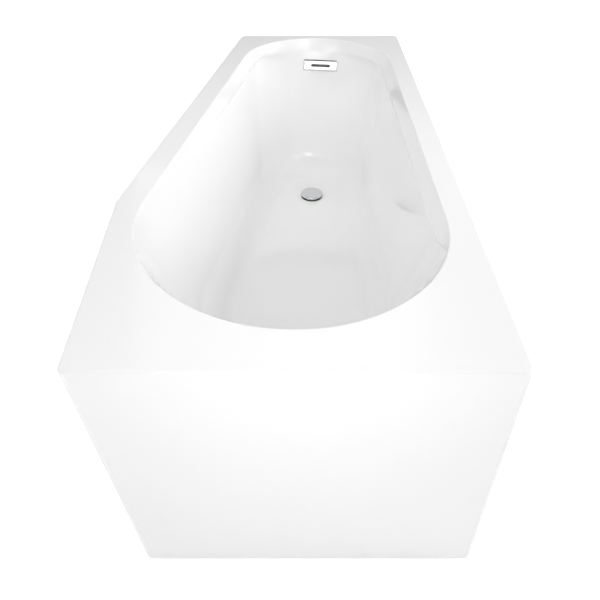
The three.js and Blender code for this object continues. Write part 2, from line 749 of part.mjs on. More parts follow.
// A solid or hollow tube along a curve.
function tubeAlong(curve, radius, bore, sides, steps) {
  const section = new THREE.Shape();
  section.absarc(0, 0, radius, 0, 2 * Math.PI);
  if (bore > 0) section.holes.push(new THREE.Path().absarc(0, 0, bore, 0, 2 * Math.PI, true));
  return new THREE.ExtrudeGeometry(section, {
    steps,
    curveSegments: sides / 2,
    bevelEnabled: false,
    extrudePath: curve,
  });
}

function addDrain() {
  const seat = -RECESS_DEPTH + GAP;
  addPart("drain_flange", makeDrainFlange(), CHROME, drainFrame);
  addPart("flange_seal", ring(SHANK_RADIUS + 0.5, 35.5, seat, seat + 1), RUBBER, drainFrame);
  addPart("drain_washer", ring(DRAIN_HOLE_RADIUS, 42, -14.2, BOSS_BOTTOM - GAP), RUBBER, drainFrame);
  addPart("drain_body", makeDrainBody(), PIPE_PLASTIC, drainFrame);
  addPart("plug_cartridge", makeCartridge(), BRASS, drainFrame);
  addPart("plug_stem", rod(STEM_RADIUS, STEM_BOTTOM, 7.8, 20), BRASS, drainFrame);
  addPart("plug_cap", makePlugCap(), CHROME, drainFrame);
  addPart("plug_seal", ring(7.4, 25, 4.9, 7.6), RUBBER, drainFrame);
  const ends = SPRING_WIRE + GAP;
  const springBottom = CARTRIDGE_BOTTOM + CARTRIDGE_FLOOR + ends;
  const coil = new Helix(SPRING_RADIUS, springBottom, STEM_BOTTOM - ends, SPRING_TURNS);
  const spring = tubeAlong(coil, SPRING_WIRE, 0, 6, 9 * SPRING_TURNS);
  addPart("plug_spring", spring, STEEL, drainFrame);
}

// ---- Trap and outlet ----

function makeTrapBody() {
  const inner = TRAP_RADIUS - TRAP_WALL;
  const inletTop = BASIN_FLOOR + SPIGOT_BOTTOM - TRAP_SEAL - GAP;
  const profile = [
    [0, TRAP_BOTTOM],
    [TRAP_RADIUS, TRAP_BOTTOM],
    [TRAP_RADIUS, TRAP_TOP],
    [PIPE_RADIUS, TRAP_TOP],
    [PIPE_RADIUS, inletTop],
    [PIPE_BORE, inletTop],
    [PIPE_BORE, TRAP_DIP],
    [PIPE_RADIUS, TRAP_DIP],
    [PIPE_RADIUS, TRAP_TOP - TRAP_WALL],
    [inner, TRAP_TOP - TRAP_WALL],
    [inner, TRAP_BOTTOM + TRAP_WALL],
    [0, TRAP_BOTTOM + TRAP_WALL],
  ];
  const outletStart = 2 - TRAP_RADIUS;
  const outlet = laidAlongY(rod(PIPE_RADIUS, -TRAP_OUTLET_REACH, outletStart, 20));
  const bore = laidAlongY(rod(PIPE_BORE, -TRAP_OUTLET_REACH - 1, -30, 20));
  const stub = outlet.translate([0, 0, TRAP_OUTLET_HEIGHT]).subtract(rod(inner, 0, HEIGHT, ROUND_STEPS));
  return turned(profile, ROUND_STEPS)
    .add(stub)
    .subtract(bore.translate([0, 0, TRAP_OUTLET_HEIGHT]));
}

function addTrap() {
  const at = new THREE.Group();
  at.position.set(DRAIN_X, DRAIN_Y, 0);
  tub.add(at);
  const spigotEnd = BASIN_FLOOR + SPIGOT_BOTTOM;
  addPart("trap_body", makeTrapBody(), PIPE_PLASTIC, at);
  const seal = ring(PIPE_BORE, PIPE_RADIUS, spigotEnd - TRAP_SEAL, spigotEnd - GAP);
  addPart("trap_inlet_seal", seal, RUBBER, at);
  addPart("trap_inlet_nut", ring(PIPE_RADIUS + 0.4, 27, TRAP_TOP + GAP, 70), DARK_PLASTIC, at);
  const start = -TRAP_OUTLET_REACH - GAP;
  const pipe = ring(PIPE_BORE, PIPE_RADIUS, start - OUTLET_PIPE_LENGTH, start, 20);
  const nut = ring(PIPE_RADIUS + 0.4, 26, start - 14, start + 12);
  addPart("outlet_pipe", laidAlongY(pipe), PIPE_PLASTIC, at).position.z = TRAP_OUTLET_HEIGHT;
  addPart("trap_outlet_nut", laidAlongY(nut), DARK_PLASTIC, at).position.z = TRAP_OUTLET_HEIGHT;
}

// ---- Overflow ----

const overflowAbove = OVERFLOW_HEIGHT - BASIN_FLOOR;
const overflowAlong = NARROW_TIP - wallInset(NARROW_RUN, NARROW_FILLET, overflowAbove);
const endWallHeight = HEIGHT - BAND_DEPTH - BASIN_FLOOR;
const endWallLean = Math.atan((NARROW_RUN - BAND_INSET - CREASE_STEP) / endWallHeight);

const overflowFrame = new THREE.Group();
overflowFrame.position.set(OVERFLOW_ACROSS, overflowAlong, OVERFLOW_HEIGHT);
overflowFrame.rotation.x = -endWallLean;
basinFrame.add(overflowFrame);

// A solid from the overflow's own axes, moved to its place in the object.
function overflowPlaced(shape) {
  const at = basinPoint(OVERFLOW_ACROSS, overflowAlong, OVERFLOW_HEIGHT);
  const degrees = THREE.MathUtils.radToDeg(1);
  return shape
    .rotate([-endWallLean * degrees, 0, 0])
    .rotate([0, 0, -BASIN_TURN * degrees])
    .translate([at.x, at.y, at.z]);
}

// The two holes for the screws that hold the overflow's pieces together.
function overflowScrewHoles(radius) {
  const hole = laidAlongY(rod(radius, -THROUGH, THROUGH, SCREW_STEPS));
  return hole.translate([OVERFLOW_SCREW_X, 0, 0]).add(hole.translate([-OVERFLOW_SCREW_X, 0, 0]));
}

// The cover: a shallow box, open at the back, with one slot.
function makeOverflowPlate() {
  const back = 1;
  const front = -GAP - PLATE_DEPTH;
  const inside = [PLATE_WIDTH - 2 * PLATE_SKIN, PLATE_HEIGHT - 2 * PLATE_SKIN, 1.5];
  const pocket = slab(...inside, front + PLATE_SKIN, back);
  const slot = slab(SLOT_WIDTH, SLOT_HEIGHT, SLOT_HEIGHT / 2.1, front - 1, back);
  return slab(PLATE_WIDTH, PLATE_HEIGHT, 2.5, front, back).subtract(pocket).subtract(slot);
}

// The frame that the cover clips on, screwed through the wall.
function makeRetainer() {
  return slab(...RETAINER, RETAINER_FRONT, 1)
    .subtract(slab(...OVERFLOW_OPENING, 4, -THROUGH, THROUGH))
    .subtract(overflowScrewHoles(SCREW_HOLE_RADIUS));
}

// The box behind the wall, open at the front, with a spigot that points down.
function makeOverflowBody(front) {
  const back = front + OVERFLOW_BOX_DEPTH;
  const pocket = slab(...OVERFLOW_POCKET, front - 1, back - 3);
  const spigot = rod(INLET_RADIUS, OVERFLOW_SPIGOT_END, -10, 20);
  const bore = rod(INLET_BORE, OVERFLOW_SPIGOT_END - 1, -8, 20);
  return slab(...OVERFLOW_BOX, 4, front, back)
    .add(spigot.translate([0, front + SPIGOT_BACK, 0]))
    .subtract(pocket)
    .subtract(bore.translate([0, front + SPIGOT_BACK, 0]))
    .subtract(overflowScrewHoles(SCREW_HOLE_RADIUS));
}

// A union nut that holds the hose's end against a spigot. Its axis is Z and the hose leaves downwards.
function makeHoseNut() {
  return turned([
    [HOSE_RADIUS + 0.7, -8],
    [HOSE_NUT_RADIUS, -8],
    [HOSE_NUT_RADIUS, 10],
    [INLET_RADIUS + GAP, 10],
    [INLET_RADIUS + GAP, 0],
    [HOSE_RADIUS + 0.7, 0],
  ]);
}

function addOverflow() {
  const gasketFront = WALL_AT_OVERFLOW + GAP;
  const gasketBack = gasketFront + GASKET_THICKNESS;
  const bodyFront = gasketBack + GAP;
  const gasket = slab(...OVERFLOW_BOX, 4, gasketFront, gasketBack)
    .subtract(slab(...OVERFLOW_POCKET, 0, THROUGH))
    .subtract(overflowScrewHoles(SCREW_HOLE_RADIUS));
  const clearOfWall = basinVolume(-GAP);
  addPart("overflow_plate", overflowPlaced(makeOverflowPlate()).intersect(clearOfWall), CHROME);
  addPart("overflow_retainer", overflowPlaced(makeRetainer()).intersect(clearOfWall), STEEL);
  addPart("overflow_gasket", gasket, RUBBER, overflowFrame);
  addPart("overflow_body", makeOverflowBody(bodyFront), PIPE_PLASTIC, overflowFrame);
  [-1, 1].forEach((side, i) => {
    const screw = laidAlongY(makeScrew(OVERFLOW_SCREW));
    const part = addPart("overflow_screw_" + (i + 1), screw, STEEL, overflowFrame);
    part.position.set(side * OVERFLOW_SCREW_X, RETAINER_FRONT - GAP, 0);
  });
  const spigot = new THREE.Vector3(0, bodyFront + SPIGOT_BACK, OVERFLOW_SPIGOT_END);
  addPart("hose_nut_top", makeHoseNut(), DARK_PLASTIC, overflowFrame).position.copy(spigot);
  const bottomNut = laidAlongY(makeHoseNut().rotate([180, 0, 0]));
  const bottomPart = addPart("hose_nut_bottom", bottomNut, DARK_PLASTIC, drainFrame);
  bottomPart.position.set(0, INLET_END, INLET_HEIGHT);
  addPart("overflow_hose", makeOverflowHose(spigot), DARK_PLASTIC, basinFrame);
}

// The hose runs down behind the end wall and under the board to the waste body.
function makeOverflowHose(spigot) {
  const down = new THREE.Vector3(0, 0, -1).applyEuler(overflowFrame.rotation);
  const start = spigot.clone().applyEuler(overflowFrame.rotation).add(overflowFrame.position);
  start.addScaledVector(down, GAP);
  const inletHeight = BASIN_FLOOR + INLET_HEIGHT;
  const route = new THREE.CatmullRomCurve3([
    start,
    start.clone().addScaledVector(down, 25),
    start.clone().addScaledVector(down, 120),
    start.clone().addScaledVector(down, 230),
    new THREE.Vector3(0, 186, inletHeight + 60),
    new THREE.Vector3(0, 150, inletHeight + 18),
    new THREE.Vector3(0, 105, inletHeight),
    new THREE.Vector3(0, INLET_END + 15, inletHeight),
    new THREE.Vector3(0, INLET_END + GAP, inletHeight),
  ]);
  return tubeAlong(route, HOSE_RADIUS, HOSE_BORE, 10, 32);
}

addPart("inner_basin", makeInnerBasin(), ACRYLIC);
addPart("outer_skirt", makeOuterSkirt(), ACRYLIC);
addFrame();
addFeet();
addSkirtBrackets();
addDrain();
addTrap();
addOverflow();

export default tub;
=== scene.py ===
"""Looks for the freestanding space-saving bathtub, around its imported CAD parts.

Metres, +Z up, in the CAD frame: +Y from the wide end to the narrow end, +X the straight side.
"""

import json
import math

import bmesh
import bpy
import numpy as np
from mathutils import Matrix, Vector


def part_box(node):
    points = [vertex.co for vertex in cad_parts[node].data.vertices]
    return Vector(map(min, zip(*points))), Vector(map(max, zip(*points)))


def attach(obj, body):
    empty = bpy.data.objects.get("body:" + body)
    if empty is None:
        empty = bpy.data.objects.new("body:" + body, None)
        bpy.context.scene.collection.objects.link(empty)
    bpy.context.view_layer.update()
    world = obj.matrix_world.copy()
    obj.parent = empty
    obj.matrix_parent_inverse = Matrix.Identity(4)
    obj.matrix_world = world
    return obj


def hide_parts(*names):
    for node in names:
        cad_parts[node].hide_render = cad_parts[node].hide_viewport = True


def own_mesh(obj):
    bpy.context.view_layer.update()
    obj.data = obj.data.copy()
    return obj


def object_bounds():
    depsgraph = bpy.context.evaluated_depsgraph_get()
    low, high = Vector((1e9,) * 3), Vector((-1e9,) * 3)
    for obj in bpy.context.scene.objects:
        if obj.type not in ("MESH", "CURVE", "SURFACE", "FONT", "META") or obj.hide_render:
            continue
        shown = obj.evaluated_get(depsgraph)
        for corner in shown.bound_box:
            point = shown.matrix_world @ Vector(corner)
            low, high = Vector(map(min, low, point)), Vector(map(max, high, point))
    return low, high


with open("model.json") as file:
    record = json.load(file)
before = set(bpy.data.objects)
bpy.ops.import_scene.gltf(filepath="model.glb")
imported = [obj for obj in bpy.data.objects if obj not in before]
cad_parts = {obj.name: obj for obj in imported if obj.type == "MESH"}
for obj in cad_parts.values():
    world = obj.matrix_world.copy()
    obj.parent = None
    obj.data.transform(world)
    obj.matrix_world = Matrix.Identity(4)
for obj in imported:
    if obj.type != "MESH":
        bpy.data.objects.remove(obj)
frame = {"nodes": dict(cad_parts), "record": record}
cad_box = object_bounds()

MM = 0.001

# Meshes
SHARP_EDGE = math.radians(32)  # faces that turn by more keep a sharp edge between them
MERGE_DISTANCE = 1e-6  # points closer than this are one point
ON_AXIS = 1e-9  # a radius below this is a point on the axis
ROUND_SEGMENTS = 96
SMALL_ROUND_SEGMENTS = 48

# Outer body, as its CAD outline
RIM_HEIGHT = cad_box[1].z
HALF_WIDTH = cad_box[1].x
HALF_LENGTH = cad_box[1].y
NARROW_END_WIDTH = 524 * MM
KINK_FROM_WIDE_END = 483 * MM
LEFT_WALL_LEAN = 73 * MM
RIM_THICKNESS = 8 * MM
RIM_EDGE_RADIUS = 4 * MM
CORNER_RADII = [r * MM for r in (12, 12, 16, 20, 24)]
RIM_CORNERS = [
    Vector((-HALF_WIDTH, -HALF_LENGTH)),
    Vector((HALF_WIDTH, -HALF_LENGTH)),
    Vector((HALF_WIDTH, HALF_LENGTH)),
    Vector((HALF_WIDTH - NARROW_END_WIDTH, HALF_LENGTH)),
    Vector((-HALF_WIDTH, KINK_FROM_WIDE_END - HALF_LENGTH)),
]
CORNER_STEPS = 12
LEAST_CORNER_RADIUS = 3 * MM
RIM_EDGE_STEPS = 6
SKIRT_WALL = 4.5 * MM
SKIRT_FLANGE = 20 * MM
SKIRT_LIP = 25 * MM
SKIRT_EDGE_RADIUS = 1.5 * MM
JOINT_GAP = 0.05 * MM  # the bonded joint under the rim, too fine to see

# Basin outline, in the basin's own axes from the drain
DRAIN = (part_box("drain_flange")[0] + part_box("drain_flange")[1]) / 2
BASIN_TURN = math.radians(6.27)
AXIS_OFFSET = -3.5 * MM
SIDE_REACH = 236 * MM
WIDE_TIP = 1093.6 * MM
NARROW_TIP = 285 * MM
CORNER_ARCS = [(0, 160), (17, 95), (40, 140), (70, 135), (136, 90)]  # side inset, radius, in mm
RIM_END_RADIUS = 245 * MM
WALL_END_RADIUS = 470 * MM
LOW_END_RADIUS = 290 * MM
END_ROUNDS_OVER = (100 * MM, 240 * MM)  # depths over which the end wall grows rounder
END_FLATTENS_FROM = 12 * MM
END_FLATTENED_AT = 31 * MM
OUTLINE_POINTS = 384
OUTLINE_SMOOTHING = 20 * MM

# Basin wall: a rolled edge, a band, a crease, a slope and a fillet to the floor
BASIN_DEPTH = 440 * MM
BASIN_WALL = 6 * MM
ROLL_END = math.radians(62)
BAND_INSET = 16 * MM
BAND_DEPTH = 40 * MM
LEDGE_WIDTH = 2.5 * MM
LEDGE_DROP = 0.6 * MM
SIDE_RUN = 65 * MM
SIDE_FILLET = 80 * MM
WIDE_RUN = 285 * MM
WIDE_FILLET = 150 * MM
NARROW_RUN = 125 * MM
NARROW_FILLET = 110 * MM
NARROW_SOFT_DEPTH = 81 * MM
NOTCH_START = -770 * MM  # along the basin, where the band starts to run out
NOTCH_END = -860 * MM
LEFT_FADE = (-520 * MM, 20 * MM)  # along the basin, where the left crease grows from nothing
CUT_ABOVE_RIM = 1 * MM
FADED_BAND_DEPTH = 1.5 * MM  # what is left of the band's depth where it has run out
FILLET_TOP = 160 * MM  # height above the floor where the rows get closer
ROLL_STEPS = 6
FILLET_STEPS = 22
BAND_PARTS = (0, 0.25, 0.5, 0.75, 0.93, 0.985, 1)  # places of the rows, as shares of the depth
WALL_PARTS = (0, 0.006, 0.03, 0.1, 0.2, 0.3, 0.4, 0.5, 0.6, 0.7, 0.8, 0.9)
ROLL_INSET = RIM_EDGE_RADIUS * (math.sin(ROLL_END) - 1)
ROLL_DEPTH = RIM_EDGE_RADIUS * (1 - math.cos(ROLL_END))
CREASE_INSET = BAND_INSET + LEDGE_WIDTH

# Drain, with heights from the basin's floor
RECESS_RADIUS = 37.5 * MM
RECESS_DEPTH = 4 * MM
DRAIN_HOLE_RADIUS = 26 * MM
BOSS_RADIUS = 46 * MM
BOSS_TOP = -1 * MM
BOSS_BOTTOM = -11 * MM
CUT_BEYOND = 5 * MM  # how far a cutting tool reaches past what it cuts
CAP_UNDERSIDE = [(0, 8.2), (4.7, 8.2), (4.7, 4.5), (7, 4.5), (7, 7.9), (33.6, 7.6)]  # mm
CAP_LIP = [(34.2, 6.7), (35.2, 6.5), (36.0, 6.7)]  # mm
CAP_SHOULDER = (31, 7.2, 5.5, 4)  # centre radius, centre height, width and rise, in mm
CAP_DOME = (29, 12.2, 31)  # outer radius, height and the radius where it is 1 lower, in mm
CAP_STEPS = 14
FLANGE_SHANK = [(21, -24), (24, -24), (24, -2.4), (36.2, -2.4), (36.5, -1.9), (36.4, -1.0)]  # mm
FLANGE_DISH = [(35.8, -0.45), (34.6, -0.3), (31, -0.5), (27.5, -1.1), (24.5, -2.4)]  # mm
FLANGE_THROAT = [(22.3, -4.6), (21, -7.5)]  # mm
SPIDER_ARM = (44 * MM, 5 * MM, 3 * MM)  # length, height and thickness
SPIDER_CORNER = 1 * MM
SPIDER_HEIGHT = -21.5 * MM
SPIDER_HUB_RADIUS = 10 * MM
SPIDER_BORE_RADIUS = 7.3 * MM
SPIDER_BORE_BEYOND = 2 * MM

# Overflow, in its own axes: y = 0 on the basin's wall and +y goes into the wall
OVERFLOW_ACROSS = 1.5 * MM
OVERFLOW_DEPTH = 81 * MM
OVERFLOW_OPENING = (60 * MM, 18 * MM)
OVERFLOW_OPENING_CORNER = 8 * MM
OVERFLOW_CUT = (-15 * MM, 20 * MM)
PLATE_SIZE = (116 * MM, 36 * MM)
PLATE_CORNER = 2.5 * MM
PLATE_FRONT = -7.3 * MM
PLATE_BACK = 0.2 * MM
PLATE_SKIN = 2 * MM
PLATE_CHAMFER = (4.2 * MM, 4 * MM)  # across the face, and back from it
PLATE_EASE = 0.3 * MM  # how far the chamfer's own edges are eased
POCKET_SIZE = (104 * MM, 24 * MM)
POCKET_MOUTH = (110 * MM, 30 * MM)
POCKET_MOUTH_DEPTH = 4 * MM
POCKET_CORNER = 1 * MM
SLOT_SIZE = (66 * MM, 9.4 * MM)
SLOT_CORNER = SLOT_SIZE[1] / 2.05
SLOT_CUT_FRONT = -20 * MM

# Materials
NOISE_RANGE = (0.3, 0.7)  # where most of a noise texture's values lie
TINT_RANGE = (0.35, 0.65)

# Studio, in metres and watts
FLOOR_HALF = 30
FLOOR_GLOW = {"From Min": 0.8, "From Max": 2.6, "To Min": 0.4, "To Max": 1.0}  # along Y
SKY_STRENGTH = 0.18
# Name, place, aim, size, power and, for a narrow beam, its spread
SOFTBOXES = [
    ("overhead", (0, 0, 2.6), (0, 0, 0.4), (1.9, 1.9), 12.5),
    ("right", (2.6, 0, 1.6), (0, 0, 0.4), (2.4, 1.6), 38.5),
    ("right_high", (1.8, 0, 2.6), (0, 0, 0.4), (2.0, 1.4), 10.5),
    ("left", (-2.6, 0, 1.6), (0, 0, 0.4), (2.4, 1.6), 9.5),
    ("left_high", (-1.8, 0, 2.6), (0, 0, 0.4), (2.0, 1.4), 11),
    ("back_high", (0, 2.0, 2.6), (0, 0, 0.4), (2.0, 1.4), 6),
    ("near_front", (0.05, -1.9, 1.1), (0, -0.75, 0.45), (1.3, 0.6), 5.0),
    ("near_left", (-0.9, -1.6, 1.5), (0.2, 0, 0.4), (0.9, 0.6), 3.5),
    ("near_right", (0.9, -1.6, 1.5), (-0.2, 0, 0.4), (0.9, 0.6), 1.2),
    ("beam_end", (0.6, -1.5, 1.7), (-0.04, 0.62, 0.44), (1.0, 1.0), 0.2, 25),
    ("beam_front", (0, -2.4, 1.5), (0.03, -0.75, 0.6), (0.4, 0.3), 0.2, 30),
    ("beam_left", (1.5, -0.3, 1.7), (-0.3, 0.05, 0.4), (0.5, 0.4), 0.15, 35),
]
CAMERA_PLACE = (-0.0272, -1.4371, 1.353)
CAMERA_TILT = math.radians(90 - 37.505)
CAMERA_SENSOR = 36  # mm
CAMERA_LENS = 39.09  # mm
CAMERA_SHIFT = (0.0367, -0.0875)


# ---- Meshes ----


def new_object(name, points, faces):
    """A mesh object from points and faces."""
    mesh = bpy.data.meshes.new(name)
    mesh.from_pydata([tuple(p) for p in points], [], faces)
    mesh.validate()
    thing = bpy.data.objects.new(name, mesh)
    bpy.context.scene.collection.objects.link(thing)
    return thing


def ring_faces(rows, count, closed=False):
    """Quads between rows of points that run anticlockwise, lowest row first."""
    faces = []
    for row in range(rows if closed else rows - 1):
        low = row * count
        high = (row + 1) % rows * count
        for i in range(count):
            after = (i + 1) % count
            faces.append((low + i, low + after, high + after, high + i))
    return faces


def loft(name, rings):
    """A closed skin over rings of points that run anticlockwise, lowest ring first."""
    count = len(rings[0])
    faces = ring_faces(len(rings), count)
    top = (len(rings) - 1) * count
    faces.append(tuple(reversed(range(count))))
    faces.append(tuple(range(top, top + count)))
    return new_object(name, [p for ring in rings for p in ring], faces)


def closed_sweep(name, rings):
    """A hollow skin over rings whose last ring joins the first again."""
    faces = ring_faces(len(rings), len(rings[0]), closed=True)
    return new_object(name, [p for ring in rings for p in ring], faces)


def cut_or_join(target, tool, operation):
    """Joins target with a tool, or cuts it by one, and removes the tool."""
    modifier = target.modifiers.new("boolean", "BOOLEAN")
    modifier.operation = operation
    modifier.solver = "MANIFOLD"
    modifier.object = tool
    apply_modifiers(target)
    bpy.data.objects.remove(tool)


def apply_modifiers(thing):
    """Replaces an object's mesh by what its modifiers make of it."""
    evaluated = thing.evaluated_get(bpy.context.evaluated_depsgraph_get())
    mesh = bpy.data.meshes.new_from_object(evaluated)
    thing.modifiers.clear()
    thing.data = mesh


def smooth_shading(thing):
    """Smooth shading with sharp edges where faces turn by more than an angle."""
    mesh = bmesh.new()
    mesh.from_mesh(thing.data)
    bmesh.ops.remove_doubles(mesh, verts=mesh.verts, dist=MERGE_DISTANCE)
    bmesh.ops.recalc_face_normals(mesh, faces=mesh.faces)
    for edge in mesh.edges:
        edge.smooth = len(edge.link_faces) == 2 and edge.calc_face_angle(math.pi) < SHARP_EDGE
    for face in mesh.faces:
        face.smooth = True
    mesh.to_mesh(thing.data)
    mesh.free()
    weighted = thing.modifiers.new("weighted_normals", "WEIGHTED_NORMAL")
    weighted.keep_sharp = True
    weighted.mode = "FACE_AREA"


# ---- Outer body ----


def inset_corners(corners, insets):
    """Polygon corners after each edge has moved inwards by its own inset."""
    edges = []
    for i, start in enumerate(corners):
        along = (corners[(i + 1) % len(corners)] - start).normalized()
        inward = Vector((-along.y, along.x))
        edges.append((start + inward * insets[i], along))
    moved = []
    for i, (point, along) in enumerate(edges):
        before_point, before_along = edges[i - 1]
        reach = cross(point - before_point, along) / cross(before_along, along)
        moved.append(before_point + before_along * reach)
    return moved


def cross(a, b):
    return a.x * b.y - a.y * b.x


def rounded_corner(before, corner, after, radius):
    """The arc that rounds one corner of an anticlockwise polygon."""
    arriving = (corner - before).normalized()
    leaving = (after - corner).normalized()
    turn = math.atan2(cross(arriving, leaving), arriving.dot(leaving))
    start = corner - arriving * radius * math.tan(turn / 2)
    centre = start + Vector((-arriving.y, arriving.x)) * radius
    points = []
    for step in range(CORNER_STEPS + 1):
        spoke = (start - centre).copy()
        spoke.rotate(Matrix.Rotation(turn * step / CORNER_STEPS, 2))
        points.append(centre + spoke)
    return points


def body_ring(height, inset):
    """The body's outline at one height. The left walls lean in as they go down."""
    edge_bottom = RIM_HEIGHT - RIM_EDGE_RADIUS
    lean = LEFT_WALL_LEAN * max(edge_bottom - height, 0) / edge_bottom
    insets = [inset, inset, inset, inset + lean, inset + lean]
    corners = inset_corners(RIM_CORNERS, insets)
    points = []
    for i, corner in enumerate(corners):
        after = corners[(i + 1) % len(corners)]
        radius = max(CORNER_RADII[i] - inset, LEAST_CORNER_RADIUS)
        points += rounded_corner(corners[i - 1], corner, after, radius)
    return [(p.x, p.y, height) for p in points]


def make_rim_plate():
    """The flat rim before the basin is cut from it, with a rounded outer edge."""
    rings = [body_ring(RIM_HEIGHT - RIM_THICKNESS, 0)]
    for step in range(RIM_EDGE_STEPS + 1):
        angle = math.pi / 2 * step / RIM_EDGE_STEPS
        height = RIM_HEIGHT - RIM_EDGE_RADIUS * (1 - math.sin(angle))
        rings.append(body_ring(height, RIM_EDGE_RADIUS * (1 - math.cos(angle))))
    return loft("inner_basin_shell", rings)


def make_skirt():
    """The outer shell: walls, a flange under the rim and a lip round the bottom."""
    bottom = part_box("outer_skirt")[0].z
    top = RIM_HEIGHT - RIM_THICKNESS - JOINT_GAP
    edge = SKIRT_EDGE_RADIUS
    halfway = edge * 0.3  # the point halfway round the bottom edge
    over_lip = bottom + SKIRT_WALL
    under_flange = top - SKIRT_WALL
    return closed_sweep(
        "outer_skirt_shell",
        [
            body_ring(bottom, edge),
            body_ring(bottom + halfway, halfway),
            body_ring(bottom + edge, 0),
            body_ring(top, 0),
            body_ring(top, SKIRT_FLANGE),
            body_ring(under_flange, SKIRT_FLANGE),
            body_ring(under_flange, SKIRT_WALL),
            body_ring(over_lip, SKIRT_WALL),
            body_ring(over_lip, SKIRT_WALL + SKIRT_LIP),
            body_ring(bottom, SKIRT_WALL + SKIRT_LIP),
        ],
    )


# ---- Basin ----


def arc(across, along, radius, start, end, steps=80):
    """Points on an arc about (across, along)."""
    angles = np.linspace(start, end, steps)
    return np.column_stack([across + radius * np.cos(angles), along + radius * np.sin(angles)])


def smooth_step(value, low, high):
    """0 at low, 1 at high, and a smooth rise between them."""
    t = np.clip((value - low) / (high - low), 0, 1)
    return t * t * (3 - 2 * t)


def corner_radius(inset):
    """The narrow end's corner radius, which is tightest at the crease and the floor."""
    insets, radii = zip(*CORNER_ARCS)
    return np.interp(inset / MM, insets, radii) * MM


def outline(side, wide, narrow, depth=0.0):
    """The egg-shaped outline after its sides and ends have moved inwards, evenly sampled."""
    lean = math.sin(BASIN_TURN)
    reach = SIDE_REACH - side
    wide_centre = (wide + reach - WIDE_TIP) / (1 + lean)
    wide_radius = reach - lean * wide_centre
    flat = smooth_step(narrow, END_FLATTENS_FROM, END_FLATTENED_AT)
    wall_radius = np.interp(depth, END_ROUNDS_OVER, (WALL_END_RADIUS, LOW_END_RADIUS))
    end_radius = RIM_END_RADIUS + (wall_radius - RIM_END_RADIUS) * flat
    corner = corner_radius(side)
    end_centre = NARROW_TIP - narrow - end_radius
    slope = math.tan(BASIN_TURN)
    base = (reach - corner - lean * end_centre) / math.cos(BASIN_TURN)
    spread = 1 + slope**2
    inside = (base * slope) ** 2 - spread * (base**2 - (end_radius - corner) ** 2)
    ahead = (base * slope + math.sqrt(inside)) / spread
    across = base - slope * ahead
    join = math.pi / 2 - math.atan2(across, ahead)
    right = np.vstack(
        [
            arc(0, wide_centre, wide_radius, -math.pi / 2, BASIN_TURN),
            arc(across, end_centre + ahead, corner, BASIN_TURN, join),
            arc(0, end_centre, end_radius, join, math.pi / 2),
        ]
    )
    left = right[::-1] * [-1, 1]
    return smoothed(evenly_spaced(np.vstack([right, left[1:]])))


def evenly_spaced(loop):
    """The same closed loop with points at equal distances along it."""
    travelled = np.insert(np.cumsum(np.linalg.norm(np.diff(loop, axis=0), axis=1)), 0, 0)
    wanted = np.linspace(0, travelled[-1], OUTLINE_POINTS, endpoint=False)
    return np.column_stack([np.interp(wanted, travelled, loop[:, i]) for i in (0, 1)])


def smoothed(loop):
    """Eases the change of curvature where arcs meet."""
    spacing = np.linalg.norm(loop[1] - loop[0])
    away = np.fft.fftfreq(OUTLINE_POINTS) * 2 * math.pi / spacing
    weight = np.exp(-0.5 * (away * OUTLINE_SMOOTHING) ** 2)
    return np.real(np.fft.ifft(np.fft.fft(loop, axis=0) * weight[:, None], axis=0))


def wall_inset(depth, run, fillet, start, start_depth):
    """How far a wall has come in at a depth below the rim: a slope, then a fillet to the floor."""
    height = BASIN_DEPTH - start_depth
    above = BASIN_DEPTH - depth
    lean = math.atan((run - start) / height)
    tangent = fillet * math.tan((math.pi / 2 - lean) / 2)
    if above < tangent * math.cos(lean):
        return run + tangent - math.sqrt(fillet**2 - (fillet - above) ** 2)
    return start + (run - start) * (1 - above / height)


def narrow_inset(depth):
    """The narrow end's wall has no crease: it curves softly into its slope."""
    slope = wall_inset(depth, NARROW_RUN, NARROW_FILLET, CREASE_INSET, BAND_DEPTH)
    at_top = wall_inset(ROLL_DEPTH, NARROW_RUN, NARROW_FILLET, CREASE_INSET, BAND_DEPTH)
    left = max(0, (NARROW_SOFT_DEPTH - depth) / (NARROW_SOFT_DEPTH - ROLL_DEPTH))
    return slope - (at_top - ROLL_INSET) * left**2


def band_side(depth):
    share = (depth - ROLL_DEPTH) / (BAND_DEPTH - ROLL_DEPTH)
    return ROLL_INSET + (BAND_INSET - ROLL_INSET) * share


def wall_side(depth):
    return wall_inset(depth, SIDE_RUN, SIDE_FILLET, CREASE_INSET, BAND_DEPTH)


def plain_side(depth):
    return wall_inset(depth, SIDE_RUN, SIDE_FILLET, ROLL_INSET, ROLL_DEPTH)


class Wall:
    """The outlines of one kind of wall over a range of depths, read at any depth."""

    def __init__(self, side_inset, shallow, deep, steps=70):
        lowest = BASIN_DEPTH - deep
        span = BASIN_DEPTH - shallow - lowest
        heights = lowest + span * np.linspace(0, 1, steps) ** 2
        self.depths = (BASIN_DEPTH - heights)[::-1]
        self.outlines = np.array([self.outline_at(d, side_inset) for d in self.depths])

    @staticmethod
    def outline_at(depth, side_inset):
        wide = wall_inset(depth, WIDE_RUN, WIDE_FILLET, ROLL_INSET, ROLL_DEPTH)
        return outline(side_inset(depth), wide, narrow_inset(depth), depth)

    def at(self, depth):
        """Points at a depth for each sample of the outline."""
        place = np.interp(depth, self.depths, np.arange(len(self.depths)))
        low = np.clip(place.astype(int), 0, len(self.depths) - 2)
        share = (place - low)[:, None]
        samples = np.arange(OUTLINE_POINTS)
        return self.outlines[low, samples] * (1 - share) + self.outlines[low + 1, samples] * share


